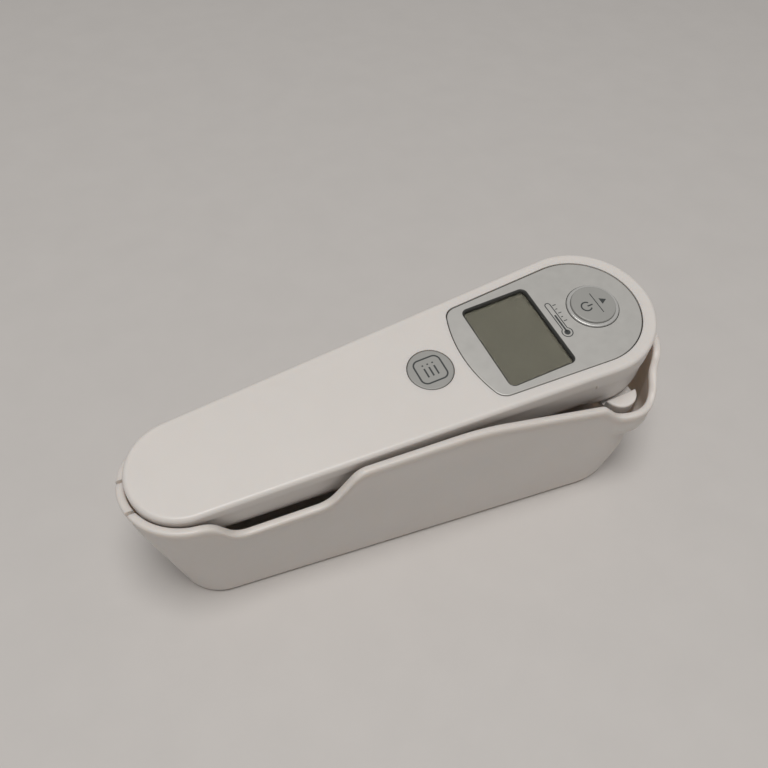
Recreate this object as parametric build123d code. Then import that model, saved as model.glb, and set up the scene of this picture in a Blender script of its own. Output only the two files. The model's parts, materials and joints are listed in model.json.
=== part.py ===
from build123d import *
import os
from math import asin, cos, radians, sin, tan

# Infrared ear thermometer lying in its open storage case.
#
# The handset is modelled in its own frame: origin at the tail end on the top face, +X to the head, +Z out
# of the top face. It is then laid in the case, a little rolled and pitched, as a handset lies that has
# not been pushed home. The case stands on Z = 0 with its length along X.

# Handset outline, mm
LENGTH = 139.0
TAIL_R = 13.1
HEAD_R = 19.5
HEAD_X = LENGTH - HEAD_R
TOP_ROUND = 1.1
BOTTOM_ROUND = 6.0
HEAD_BOTTOM_ROUND = 3.2
DEPTH_TAIL = 12.8
DEPTH_MIDDLE = 16.2
DEPTH_HEAD = 16.4
TOP_WALL = 1.9
SIDE_WALL = 1.6
LOWER_INSET = 0.3

# Line where the front shell meets the back: depth at the tail, depth at the step, step height
SEAM_TAIL = 3.2
SEAM_STEP = 5.0
STEP_X = 113.0
STEP_DROP = 1.2
# Shadow groove round the casing, just above that line
SEAM_GROOVE = 0.35
SEAM_GROOVE_DEPTH = 0.75

# Battery cover: a round door under the coin cell, locked by two lugs and turned with a coin
COVER_R = 11.4
COVER_GAP = 0.2
COVER_LOW = -13.6
COVER_T = 0.9
COLLAR_R = 12.6
LEDGE_R = 11.1
LEDGE_LOW = -12.6
LEDGE_T = 0.6
PLUG_R = 10.9
PLUG_BORE_R = 10.3
PLUG_TOP = -11.2
LUG_R = 12.1
LUG_T = 0.7
LUG_ANGLE = 8.0
LUG_PLAY = 1.5
UNLOCK_ANGLE = 60.0
COIN_SLOT_LENGTH = 13.0
COIN_SLOT_WIDTH = 1.8
COIN_SLOT_DEPTH = 0.6

# Display
LCD_X0, LCD_X1 = 91.3, 109.5
LCD_HALF_Y = 12.4
LCD_CORNER = 1.3
LCD_BEVEL = 0.45
WINDOW_LAP = 1.2
WINDOW_PLAY = 0.05
WINDOW_T = 0.8
LCD_TOP = -1.95
LCD_UPPER_T = 1.2
LCD_LOWER_T = 1.0
LCD_LEDGE_T = 0.55

# Silver face panel
PANEL_INSET = 3.35
PANEL_HEAD_X = 118.7
PANEL_HEAD_R = 16.1
PANEL_END_X = 84.7
PANEL_END_R = 36.0
PANEL_CORNER = 3.6
PANEL_EDGE = 0.2
PANEL_T = 0.9
PANEL_GAP = 0.3
PANEL_SINK = 0.08

# Buttons
START_X = 122.9
START_R = 6.75
START_RISE = 0.35
START_CAP_R = 5.9
START_CAP_TOP = 0.95
START_CAP_T = 1.2
MEMORY_X = 75.6
MEMORY_R = 5.7
BUTTON_GAP = 0.2
BUTTON_FLANGE = 1.1
BUTTON_FLANGE_T = 0.8
BUTTON_STEM_R = 1.6
SWITCH_SIDE = 6.0

# Circuit board
BOARD_TOP = -6.2
BOARD_T = 1.2
BOARD_X0, BOARD_X1 = 17.0, 133.0
BOARD_BOTTOM = BOARD_TOP - BOARD_T

# Coin cell, size 2032
CELL_X = 28.5
CELL_R = 10.0
CELL_T = 3.2
CELL_TOP = -8.5

# Casing screws
SCREW_PLACES = [(60.0, 10.2), (60.0, -10.2), (86.0, 12.4), (86.0, -12.4)]
SCREW_R = 0.9
SCREW_HEAD_R = 1.9
SCREW_HEAD_T = 1.2
BOSS_R = 2.2

# Ear probe
PROBE_X = 123.0
PROBE_TIP = -39.0
PROBE_TIP_R = 4.2
STEM_R = 9.0
STEM_END = -19.9
FLANGE_R = 9.9
FLANGE_T = 1.4
NOZZLE_WALL = 1.2
TUBE_R = 2.5
TUBE_BORE_R = 1.9
SENSOR_R = 2.35

# Probe cover ejector
RING_R = 14.2
RING_BORE_GAP = 0.3
RING_TOP = -17.0
RING_T = 2.5
EAR_REACH = 23.2
EAR_WIDTH = 9.4
EAR_TOP = -14.5
EAR_LOW = -18.2
EAR_INNER = 19.45
POST_Y = 12.0
POST_R = 1.2
SPRING_TURNS = 5
SPRING_R = 1.75
SPRING_WIRE = 0.35

# Storage case: (height, tail centre, tail radius, head centre, head radius) up the outside of the hull
HULL = [
    (0.0, 19.0, 10.7, 117.0, 19.9),
    (12.0, 17.0, 12.2, 118.3, 21.9),
    (24.0, 15.2, 13.9, 119.1, 22.5),
    (33.0, 14.3, 15.2, 119.4, 22.7),
    (44.0, 14.2, 15.5, 119.5, 22.8),
]
CASE_WALL = 1.3
CASE_FLOOR = 2.0
BASE_ROUND = 1.6
# Height of the rim along the case, with the radius that rounds each corner
RIM = [
    (-12.0, 36.8, 0),
    (14.8, 36.8, 6.0),
    (20.3, 29.3, 5.0),
    (41.6, 30.7, 6.0),
    (48.9, 39.8, 5.0),
    (80.0, 41.1, 60.0),
    (115.4, 34.4, 3.0),
    (118.6, 30.1, 3.5),
    (131.5, 30.1, 4.0),
    (137.5, 39.0, 4.0),
    (160.0, 39.0, 0),
]
LOBE_X = 125.0
LOBE_Y = 15.8
LOBE_R = 8.6
LOBE_FLOOR = 19.5
LOBE_ROUND = 5.5
LOBE_BLEND = 1.8
TAB_HALF = 4.6
NOTCH_WIDTH = 0.9
NOTCH_DEPTH = 9.0

# How the handset lies in the case
ROLL = 9.0
PITCH = 4.0
SEAT_X = 0.35
SEAT_Y = -0.6
SEAT_Z = 40.0

SEAT = Pos(SEAT_X, SEAT_Y, SEAT_Z) * Rot(0, -PITCH, 0) * Rot(ROLL, 0, 0)
FAR = 60.0


# ---- Shared shapes ----

def pear(tail_x, tail_r, head_x, head_r):
    """Two circles of different size and their tangent lines, as a face on Z = 0."""
    lean = asin((head_r - tail_r) / (head_x - tail_x))
    tail_point = (tail_x - tail_r * sin(lean), tail_r * cos(lean))
    head_point = (head_x - head_r * sin(lean), head_r * cos(lean))
    near_tail = (tail_point[0], -tail_point[1])
    near_head = (head_point[0], -head_point[1])
    edges = [
        Line(tail_point, head_point),
        ThreePointArc(head_point, (head_x + head_r, 0), near_head),
        Line(near_head, near_tail),
        ThreePointArc(near_tail, (tail_x - tail_r, 0), tail_point),
    ]
    return make_face(Wire(edges))


def handset_face(inset):
    return pear(TAIL_R, TAIL_R - inset, HEAD_X, HEAD_R - inset)


def disc(x, y, radius, low, high):
    """An upright cylinder between two heights."""
    return Pos(x, y, (low + high) / 2) * Cylinder(radius, high - low)


def block(x0, x1, y0, y1, z0, z1):
    centre = Pos((x0 + x1) / 2, (y0 + y1) / 2, (z0 + z1) / 2)
    return centre * Box(x1 - x0, y1 - y0, z1 - z0)


def side_prism(points, half_width=FAR):
    """A polygon in the XZ plane, carried the same distance to both sides."""
    outline = make_face(Wire(Polyline(*points, close=True).edges()))
    return extrude(Plane.XZ * outline, half_width, both=True)


def ring(x, y, outer, bore, low, high):
    return disc(x, y, outer, low, high) - disc(x, y, bore, low - 1, high + 1)


def rounded_slab(x0, x1, half_y, corner, low, high):
    face = Pos((x0 + x1) / 2, 0, low) * RectangleRounded(x1 - x0, 2 * half_y, corner)
    return extrude(face, high - low)


# ---- Handset casing ----

def handset_body(inset, wall=0.0):
    """The casing as a full body, its sides drawn in by inset, or its hollow when wall isn't 0."""
    body = extrude(Pos(0, 0, -TOP_WALL if wall else 0) * handset_face(inset), -28)
    belly = ThreePointArc(
        (-8, -DEPTH_TAIL + 0.5 + wall),
        (LENGTH / 2, -DEPTH_MIDDLE + wall),
        (LENGTH + 8, -DEPTH_HEAD + 0.2 + wall),
    )
    below = Polyline(belly @ 1, (LENGTH + 8, -40), (-8, -40), belly @ 0)
    below = extrude(Plane.XZ * make_face(Wire([belly, *below.edges()])), FAR, both=True)
    body -= below
    bottom_edges = [e for e in body.edges() if e.center().Z < -11 and e.bounding_box().size.Z < 6]
    body = fillet(bottom_edges, BOTTOM_ROUND - inset)
    drum = disc(HEAD_X, 0, HEAD_R - inset, -28, -8) - below
    drum = fillet([e for e in drum.edges() if e.center().Z < -12], HEAD_BOTTOM_ROUND - inset)
    body += drum
    if not wall:
        top_edges = body.edges().filter_by_position(Axis.Z, -0.01, 0.01)
        body = fillet(top_edges, TOP_ROUND)
    return body


def above_seam(drop):
    """Everything above the line where the two shells meet, the line lowered by drop."""
    slope = (SEAM_STEP - SEAM_TAIL) / STEP_X
    return side_prism([
        (-20, 20),
        (-20, -SEAM_TAIL + 20 * slope - drop),
        (STEP_X, -SEAM_STEP - drop),
        (STEP_X, -SEAM_STEP - STEP_DROP - drop),
        (LENGTH + 20, -SEAM_STEP - STEP_DROP - drop),
        (LENGTH + 20, 20),
    ])


def panel_face(grow):
    """The face panel's outline: much like the handset's, inset, cut by an arc at the display end."""
    arc_disc = Pos(PANEL_END_X + PANEL_END_R, 0) * Circle(PANEL_END_R + grow)
    face = pear(TAIL_R, TAIL_R - PANEL_INSET + grow, PANEL_HEAD_X, PANEL_HEAD_R + grow) & arc_disc
    corners = [v for v in face.vertices() if v.X < LCD_X0 and abs(v.Y) > 8]
    return fillet(corners, PANEL_CORNER)


def lcd_opening(grow, low, high):
    return rounded_slab(LCD_X0 - grow, LCD_X1 + grow, LCD_HALF_Y + grow, LCD_CORNER + grow, low, high)


def make_front_shell(skin, hollow):
    shell = (skin - hollow) & above_seam(0)
    shell -= above_seam(0) - above_seam(-SEAM_GROOVE) - handset_body(SEAM_GROOVE_DEPTH)
    bosses = [disc(x, y, BOSS_R, -9.6, -TOP_WALL + 0.2) for x, y in SCREW_PLACES]
    shell += bosses
    shell -= [disc(x, y, SCREW_R, -10, -3.0) for x, y in SCREW_PLACES]
    shell -= extrude(Pos(0, 0, -PANEL_T - PANEL_SINK) * panel_face(PANEL_GAP), 5)
    shell -= lcd_opening(WINDOW_LAP + WINDOW_PLAY, -5, 0)
    shell -= disc(START_X, 0, START_R + BUTTON_GAP, -5, 1)
    shell -= disc(MEMORY_X, 0, MEMORY_R + BUTTON_GAP, -5, 1)
    return shell


def lugs(turn, half_angle, outer, low, high):
    """Two opposite sectors of a ring round the coin cell, from the plug's bore out to a radius."""
    sector = ring(0, 0, outer, PLUG_BORE_R, low, high)
    reach = 2 * outer
    wedge_end = reach * tan(radians(half_angle))
    wedge = Polyline((0, 0), (reach, wedge_end), (reach, -wedge_end), close=True)
    wedge = extrude(Pos(0, 0, low) * make_face(Wire(wedge.edges())), high - low)
    both = [Rot(0, 0, turn + half_turn) * (sector & wedge) for half_turn in (0, 180)]
    return Pos(CELL_X, 0, 0) * (both[0] + both[1])


def make_back_shell(skin, hollow):
    shell = (skin - hollow) - above_seam(0)
    shell -= disc(CELL_X, 0, COVER_R + COVER_GAP, -FAR, LEDGE_LOW)
    ledge_top = LEDGE_LOW + LEDGE_T
    collar = ring(CELL_X, 0, COLLAR_R, COVER_R + COVER_GAP, -FAR, ledge_top)
    collar += ring(CELL_X, 0, COLLAR_R, LEDGE_R, LEDGE_LOW, ledge_top)
    shell += collar & skin
    shell -= disc(CELL_X, 0, LEDGE_R, -FAR, PLUG_TOP + COVER_GAP)
    shell -= disc(CELL_X, 0, LUG_R + COVER_GAP, ledge_top, PLUG_TOP + COVER_GAP)
    shell -= lugs(UNLOCK_ANGLE, LUG_ANGLE + LUG_PLAY, LUG_R + COVER_GAP, LEDGE_LOW, ledge_top)
    for x, y in SCREW_PLACES:
        shell += disc(x, y, BOSS_R + 0.9, -14.0, -9.7) & skin
        shell -= disc(x, y, SCREW_R + 0.2, -30, 0)
        shell -= disc(x, y, SCREW_HEAD_R + 0.2, -30, -12.9)
    shell -= disc(PROBE_X, 0, STEM_R + 0.05, -30, 0)
    for side in (-1, 1):
        shell -= disc(PROBE_X, side * POST_Y, POST_R + 0.3, -30, -10)
    return shell


def make_battery_cover():
    cover = disc(CELL_X, 0, COVER_R, COVER_LOW, COVER_LOW + COVER_T)
    cover = chamfer(cover.edges().sort_by(Axis.Z)[0], 0.25)
    cover += ring(CELL_X, 0, PLUG_R, PLUG_BORE_R, COVER_LOW + COVER_T, PLUG_TOP)
    cover += lugs(0, LUG_ANGLE, LUG_R, PLUG_TOP - LUG_T, PLUG_TOP)
    slot = block(-COIN_SLOT_LENGTH / 2, COIN_SLOT_LENGTH / 2, -COIN_SLOT_WIDTH / 2, COIN_SLOT_WIDTH / 2, 0, 2)
    return cover - Pos(CELL_X, 0, COVER_LOW + COIN_SLOT_DEPTH - 2) * slot


def make_casing_screws():
    screws = []
    for x, y in SCREW_PLACES:
        head = disc(x, y, SCREW_HEAD_R, -12.9 - SCREW_HEAD_T, -12.9)
        slots = block(x - 1.1, x + 1.1, y - 0.2, y + 0.2, -15, -12.9 - SCREW_HEAD_T + 0.6)
        slots += block(x - 0.2, x + 0.2, y - 1.1, y + 1.1, -15, -12.9 - SCREW_HEAD_T + 0.6)
        screws.append(head - slots + disc(x, y, SCREW_R, -12.9, -4.0))
    return Compound(children=screws)


# ---- Face: panel, display and buttons ----

def make_face_panel():
    panel = extrude(Pos(0, 0, -PANEL_T - PANEL_SINK) * panel_face(0), PANEL_T)
    outer_edge = panel.edges().filter_by_position(Axis.Z, -PANEL_SINK - 0.01, -PANEL_SINK + 0.01)
    panel = fillet(outer_edge, PANEL_EDGE)
    panel -= lcd_opening(0, -5, 1)
    mouth = panel.edges().filter_by_position(Axis.Z, -PANEL_SINK - 0.01, -PANEL_SINK + 0.01)
    mouth = [e for e in mouth if LCD_X0 - 1 < e.center().X < LCD_X1 + 1 and abs(e.center().Y) < 12.6]
    panel = chamfer(mouth, LCD_BEVEL)
    return panel - disc(START_X, 0, START_R + BUTTON_GAP, -5, 1)


def make_lcd_window():
    """The clear window, in the shell's opening, stuck to the underside of the face panel."""
    high = -PANEL_T - PANEL_SINK
    return lcd_opening(WINDOW_LAP, high - WINDOW_T, high)


def make_lcd_module():
    middle = LCD_TOP - LCD_UPPER_T
    glass = block(LCD_X0 - 1.6, LCD_X1 + 1.6, -14.0, 14.0, middle, LCD_TOP)
    lower_glass = block(LCD_X0 - 1.6, LCD_X1 + 1.6, -14.0, 14.0, middle - LCD_LOWER_T, middle)
    return glass + lower_glass


def make_lcd_holder():
    x0, x1 = LCD_X0 - 1.8, LCD_X1 + 1.8
    frame = block(x0 - 0.9, x1 + 0.9, -15.0, 15.0, BOARD_TOP, LCD_TOP)
    frame -= block(x0, x1, -14.1, 14.1, -10, 0)
    ledge_top = LCD_TOP - LCD_UPPER_T - LCD_LOWER_T - 0.05
    ledge = block(x0, x1, -14.1, 14.1, ledge_top - LCD_LEDGE_T, ledge_top)
    ledge -= block(x0 + 1.5, x1 - 1.5, -13.9, 13.9, -10, 0)
    return frame + ledge


def make_lcd_connectors():
    high = LCD_TOP - LCD_UPPER_T - LCD_LOWER_T
    strips = [block(93.0, 108.0, s * 12.9 - 0.8, s * 12.9 + 0.8, BOARD_TOP, high) for s in (-1, 1)]
    return Compound(children=strips)


def make_start_button():
    body = disc(START_X, 0, START_R, -TOP_WALL - 0.2, START_RISE)
    top_edge = body.edges().filter_by_position(Axis.Z, START_RISE - 0.01, START_RISE + 0.01)
    body = fillet(top_edge, 0.3)
    body += disc(START_X, 0, START_R + BUTTON_FLANGE, -TOP_WALL - 0.2 - BUTTON_FLANGE_T, -TOP_WALL - 0.2)
    body += disc(START_X, 0, BUTTON_STEM_R, -3.7, -TOP_WALL - BUTTON_FLANGE_T)
    return body - disc(START_X, 0, START_CAP_R, START_CAP_TOP - START_CAP_T, START_RISE + 1)


def make_start_button_cap():
    cap = disc(START_X, 0, START_CAP_R - 0.08, START_CAP_TOP - START_CAP_T, START_CAP_TOP)
    return fillet(cap.edges().sort_by(Axis.Z)[-1], 0.3)


def make_memory_button():
    body = disc(MEMORY_X, 0, MEMORY_R, -TOP_WALL - 0.2, 0.05)
    body = fillet(body.edges().sort_by(Axis.Z)[-1], 0.3)
    body += disc(MEMORY_X, 0, MEMORY_R + BUTTON_FLANGE, -TOP_WALL - 0.2 - BUTTON_FLANGE_T, -TOP_WALL - 0.2)
    return body + disc(MEMORY_X, 0, BUTTON_STEM_R, -3.7, -TOP_WALL - BUTTON_FLANGE_T)


def make_switch(x):
    half = SWITCH_SIDE / 2
    body = block(x - half, x + half, -half, half, BOARD_TOP, BOARD_TOP + 1.2)
    return body + disc(x, 0, 1.5, BOARD_TOP + 1.2, BOARD_TOP + 1.9)


# ---- Electronics ----

def make_circuit_board():
    board = extrude(Pos(0, 0, BOARD_BOTTOM) * handset_face(SIDE_WALL + 0.7), BOARD_T)
    board &= block(BOARD_X0, BOARD_X1, -FAR, FAR, -20, 0)
    board -= [disc(x, y, BOSS_R + 0.4, -20, 0) for x, y in SCREW_PLACES]
    board -= [disc(PROBE_X, s * POST_Y, 3.0, -20, 0) for s in (-1, 1)]
    return board


def make_processor_chip():
    chip = block(67.0, 76.0, -4.5, 4.5, BOARD_BOTTOM - 1.2, BOARD_BOTTOM)
    return chip - disc(68.2, 3.3, 0.5, -20, BOARD_BOTTOM - 1.0)


def make_board_components():
    """Small surface-mounted resistors and capacitors on the underside of the board."""
    parts = []
    for row in range(2):
        for place in range(4):
            x = 79.5 + 3.2 * place
            y = 6.5 * (2 * row - 1)
            parts.append(block(x, x + 2.0, y - 0.6, y + 0.6, BOARD_BOTTOM - 0.7, BOARD_BOTTOM))
    parts.append(block(64.0, 66.0, -9.0, -3.2, BOARD_BOTTOM - 2.0, BOARD_BOTTOM))
    return Compound(children=parts)


def make_buzzer():
    can = disc(101.0, 0, 6.0, BOARD_BOTTOM - 2.6, BOARD_BOTTOM)
    return can - disc(101.0, 0, 1.0, -20, BOARD_BOTTOM - 1.6)


def make_coin_cell():
    can = disc(CELL_X, 0, CELL_R, CELL_TOP - CELL_T, CELL_TOP - 0.4)
    can = fillet(can.edges().sort_by(Axis.Z)[0], 0.5)
    return can + disc(CELL_X, 0, 8.6, CELL_TOP - 0.4, CELL_TOP)


def make_battery_contact_negative():
    """A flat leaf under the board that touches the cell's cap."""
    leaf = block(CELL_X - 5, CELL_X + 8, -2.5, 2.5, CELL_TOP + 0.05, CELL_TOP + 0.35)
    return leaf + block(CELL_X + 5, CELL_X + 8, -2.5, 2.5, CELL_TOP + 0.35, BOARD_BOTTOM)


def make_battery_contact_positive():
    """A bent strip that presses on the rim of the cell and runs up to the board."""
    x = CELL_X + CELL_R + 0.05
    strip = block(x, x + 0.4, -3.0, 3.0, CELL_TOP - CELL_T + 0.6, BOARD_BOTTOM)
    return strip + block(x + 0.4, x + 3.0, -3.0, 3.0, BOARD_BOTTOM - 0.4, BOARD_BOTTOM)


# ---- Ear probe ----

def cone_radius(z):
    """Outer radius of the probe's cone, which thins in a straight line from the stem to the tip."""
    share = (STEM_END - z) / (STEM_END - PROBE_TIP)
    return (STEM_R - 0.2) + share * (PROBE_TIP_R - STEM_R + 0.2)


def make_probe_nozzle():
    top = RING_TOP + 3.6
    outline = Polyline(
        (0, top),
        (FLANGE_R, top),
        (FLANGE_R, top - FLANGE_T),
        (STEM_R, top - FLANGE_T),
        (STEM_R, STEM_END),
        (STEM_R - 0.2, STEM_END),
        (PROBE_TIP_R, PROBE_TIP),
        (0, PROBE_TIP),
        close=True,
    )
    body = revolve(Plane.XZ * make_face(Wire(outline.edges())), Axis.Z)
    bore = Polyline(
        (0, top + 1),
        (STEM_R - NOZZLE_WALL, top + 1),
        (STEM_R - NOZZLE_WALL, STEM_END),
        (cone_radius(-36.5) - NOZZLE_WALL, -36.5),
        (TUBE_R + 0.1, -36.5),
        (TUBE_R + 0.1, PROBE_TIP - 1),
        (0, PROBE_TIP - 1),
        close=True,
    )
    body -= revolve(Plane.XZ * make_face(Wire(bore.edges())), Axis.Z)
    tip = [e for e in body.edges() if abs(e.center().Z - PROBE_TIP) < 0.01 and e.length > 20]
    return Pos(PROBE_X, 0, 0) * fillet(tip, 0.9)


def make_waveguide():
    return ring(PROBE_X, 0, TUBE_R, TUBE_BORE_R, -38.2, -29.0)


def make_probe_window():
    return disc(PROBE_X, 0, TUBE_R, -38.5, -38.2)


def make_infrared_sensor():
    can = disc(PROBE_X, 0, SENSOR_R, -28.9, -26.4)
    return can + disc(PROBE_X, 0, SENSOR_R + 0.45, -26.4, -25.9)


def make_sensor_holder():
    body = disc(PROBE_X, 0, 4.2, -31.5, -24.6)
    body -= disc(PROBE_X, 0, TUBE_R, -40, -28.9)
    body -= disc(PROBE_X, 0, SENSOR_R, -28.9, -26.4)
    return body - disc(PROBE_X, 0, SENSOR_R + 0.45, -26.4, -20)


def make_sensor_ribbon():
    """A flat ribbon from the sensor's back up to the board."""
    low = block(PROBE_X - 2.0, PROBE_X + 2.0, -1.5, 1.5, -25.9, -25.6)
    rise = block(PROBE_X - 2.0, PROBE_X - 1.7, -1.5, 1.5, -25.6, BOARD_BOTTOM - 0.8)
    return low + rise


def make_ribbon_socket():
    return block(PROBE_X - 4.0, PROBE_X - 1.4, -2.5, 2.5, BOARD_BOTTOM - 0.8, BOARD_BOTTOM)


# ---- Probe cover ejector ----

def make_ear(side):
    """A flat-topped finger ear with a rounded outer end, joined to the ring below the casing."""
    pad = Pos(PROBE_X, side * (EAR_REACH - EAR_WIDTH / 2)) * Circle(EAR_WIDTH / 2)
    pad += Pos(PROBE_X, side * (EAR_REACH - EAR_WIDTH)) * Rectangle(EAR_WIDTH, EAR_WIDTH)
    ear = extrude(Pos(0, 0, EAR_LOW) * pad, EAR_TOP - EAR_LOW)
    ear -= block(-FAR, 3 * FAR, -EAR_INNER, EAR_INNER, RING_TOP, 0)
    top_edges = ear.edges().filter_by_position(Axis.Z, EAR_TOP - 0.01, EAR_TOP + 0.01)
    return fillet(top_edges, 0.5)


def make_ejector_ring():
    low = RING_TOP - RING_T
    body = disc(PROBE_X, 0, RING_R, low, RING_TOP)
    body = fillet(body.edges().sort_by(Axis.Z)[0], 0.8)
    for side in (-1, 1):
        body += make_ear(side)
        body += disc(PROBE_X, side * POST_Y, POST_R, RING_TOP - 0.1, -8.9)
    return body - disc(PROBE_X, 0, STEM_R + RING_BORE_GAP, -30, 0)


def make_ejector_clips():
    """A retaining washer pressed on the head of each post."""
    clips = [ring(PROBE_X, s * POST_Y, 2.3, POST_R, -9.6, -9.0) for s in (-1, 1)]
    return Compound(children=clips)


def make_ejector_springs():
    low, high = -14.7, -9.75
    pitch = (high - low - SPRING_WIRE) / SPRING_TURNS
    coil_path = Helix(pitch, pitch * SPRING_TURNS, SPRING_R)
    section = Plane(coil_path @ 0, z_dir=coil_path % 0) * Circle(SPRING_WIRE / 2)
    coil = sweep(section, path=coil_path, is_frenet=True)
    lift = low + SPRING_WIRE / 2
    return Compound(children=[Pos(PROBE_X, s * POST_Y, lift) * coil for s in (-1, 1)])


# ---- Storage case ----

def hull(inset, floor):
    """A hull through the sections in HULL, its walls inset and its bottom raised by floor."""
    faces = []
    for height, tail_x, tail_r, head_x, head_r in HULL:
        z = height if height > 0 else floor
        faces.append(Pos(0, 0, z) * pear(tail_x, tail_r - inset, head_x, head_r - inset))
    return loft(faces)


def lobe(side, inset):
    """A pocket in the side wall that an ejector ear drops into."""
    low = LOBE_FLOOR + inset
    pocket = disc(LOBE_X, side * LOBE_Y, LOBE_R - inset, low, HULL[-1][0])
    bottom = pocket.edges().sort_by(Axis.Z)[0]
    return fillet(bottom, LOBE_ROUND - inset)


def with_lobes(body, inset):
    """The hull with both pockets, the corner between hull and pocket rounded."""
    for side in (-1, 1):
        body += lobe(side, inset)
    top = HULL[-1][0]
    seams = [
        e for e in body.edges().filter_by(GeomType.BSPLINE)
        if e.bounding_box().min.Z > LOBE_FLOOR - 0.5 and e.bounding_box().size.Z > 1
    ]
    seams = [e for e in seams if e.center().Z < top - 1 and LOBE_X - 10 < e.center().X < LOBE_X + 12]
    seams = [e for e in seams if abs(e.center().Y) > 14]
    return fillet(seams, LOBE_BLEND + inset)


def above_rim():
    """Everything above the rim's line, as seen from the side."""
    line = FilletPolyline(*[(x, z) for x, z, _ in RIM], radius=[r for _, _, r in RIM[1:-1]])
    closing = Polyline(line @ 1, (RIM[-1][0], 80), (RIM[0][0], 80), line @ 0)
    return extrude(Plane.XZ * make_face(Wire([*line.edges(), *closing.edges()])), FAR, both=True)


def make_storage_case():
    outside = hull(0, 0)
    outside = fillet(outside.edges().filter_by_position(Axis.Z, -0.01, 0.01), BASE_ROUND)
    inside = hull(CASE_WALL, CASE_FLOOR)
    outside = with_lobes(outside, 0)
    inside = with_lobes(inside, CASE_WALL)
    case = outside - inside - above_rim()
    for side in (-1, 1):
        y = side * TAB_HALF
        case -= block(-10, 8, y - NOTCH_WIDTH / 2, y + NOTCH_WIDTH / 2, RIM[0][1] - NOTCH_DEPTH, 60)
    return case


# ---- Everything, in its place ----

def main():
    skin = handset_body(0)
    lower_skin = handset_body(LOWER_INSET)
    hollow = handset_body(SIDE_WALL, wall=SIDE_WALL)
    handset = {
        "front_shell": make_front_shell(skin, hollow),
        "back_shell": make_back_shell(lower_skin, hollow),
        "battery_cover": make_battery_cover(),
        "casing_screws": make_casing_screws(),
        "face_panel": make_face_panel(),
        "lcd_window": make_lcd_window(),
        "lcd_module": make_lcd_module(),
        "lcd_holder": make_lcd_holder(),
        "lcd_connectors": make_lcd_connectors(),
        "start_button": make_start_button(),
        "start_button_cap": make_start_button_cap(),
        "memory_button": make_memory_button(),
        "start_switch": make_switch(START_X),
        "memory_switch": make_switch(MEMORY_X),
        "circuit_board": make_circuit_board(),
        "processor_chip": make_processor_chip(),
        "board_components": make_board_components(),
        "buzzer": make_buzzer(),
        "coin_cell": make_coin_cell(),
        "battery_contact_negative": make_battery_contact_negative(),
        "battery_contact_positive": make_battery_contact_positive(),
        "probe_nozzle": make_probe_nozzle(),
        "waveguide": make_waveguide(),
        "probe_window": make_probe_window(),
        "infrared_sensor": make_infrared_sensor(),
        "sensor_holder": make_sensor_holder(),
        "sensor_ribbon": make_sensor_ribbon(),
        "ribbon_socket": make_ribbon_socket(),
        "ejector_ring": make_ejector_ring(),
        "ejector_clips": make_ejector_clips(),
        "ejector_springs": make_ejector_springs(),
    }
    case = make_storage_case()
    to_centre = Pos(-case.bounding_box().center().X, 0, 0)
    os.makedirs("parts", exist_ok=True)
    for node, shape in handset.items():
        export_step(to_centre * SEAT * shape, f"parts/{node}.step")
    export_step(to_centre * case, "parts/storage_case.step")


main()
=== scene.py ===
import json
import math

import bmesh
import bpy
from mathutils import Matrix, Vector


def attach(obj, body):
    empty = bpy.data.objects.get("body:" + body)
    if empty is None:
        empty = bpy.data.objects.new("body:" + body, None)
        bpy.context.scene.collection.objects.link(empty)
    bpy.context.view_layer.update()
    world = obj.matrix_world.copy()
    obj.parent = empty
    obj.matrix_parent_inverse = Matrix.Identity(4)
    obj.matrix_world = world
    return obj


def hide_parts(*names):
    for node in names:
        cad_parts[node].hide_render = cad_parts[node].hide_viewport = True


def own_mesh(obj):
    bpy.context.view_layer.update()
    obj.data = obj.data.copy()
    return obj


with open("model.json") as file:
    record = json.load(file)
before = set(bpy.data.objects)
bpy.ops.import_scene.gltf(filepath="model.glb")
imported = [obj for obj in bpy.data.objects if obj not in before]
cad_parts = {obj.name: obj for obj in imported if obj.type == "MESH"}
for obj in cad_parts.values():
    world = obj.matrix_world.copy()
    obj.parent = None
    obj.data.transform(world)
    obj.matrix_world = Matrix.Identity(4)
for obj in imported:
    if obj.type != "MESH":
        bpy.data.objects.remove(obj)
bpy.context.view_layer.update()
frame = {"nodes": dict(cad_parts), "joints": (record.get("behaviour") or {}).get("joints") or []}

MM = 0.001
MM_PER_M = 1000

# ---- The handset's own frame, from its joints: X to the head, Z out of the face, origin at the tail ----

# The battery cover's axis and the middle of the coin cell, in that frame, mm
CELL_X = 28.5
CELL_MIDDLE = -10.1

joints = {joint["name"]: joint for joint in frame["joints"]}
FACE_NORMAL = -Vector(joints["start_press"]["axis"]).normalized()
TO_HEAD = Vector((0, 1, 0)).cross(FACE_NORMAL).normalized()
ACROSS = FACE_NORMAL.cross(TO_HEAD)
cell_centre = Vector(joints["battery_cover_turn"]["pos_m"])
HANDSET_ORIGIN = cell_centre - CELL_X * MM * TO_HEAD - CELL_MIDDLE * MM * FACE_NORMAL
HANDSET_TURN = Matrix((TO_HEAD, ACROSS, FACE_NORMAL)).transposed().to_4x4()
HANDSET_MM = Matrix.Translation(HANDSET_ORIGIN) @ HANDSET_TURN @ Matrix.Scale(MM, 4)

# ---- Sizes of the handset that repeat the CAD model's, mm ----

START_X = 122.9
START_CAP_TOP = 0.95
MEMORY_X = 75.6
MEMORY_TOP = 0.05
LCD_X0, LCD_X1 = 91.3, 109.5
LCD_HALF_Y = 12.4
LCD_CORNER = 1.3
WINDOW_TOP = -0.98

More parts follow.
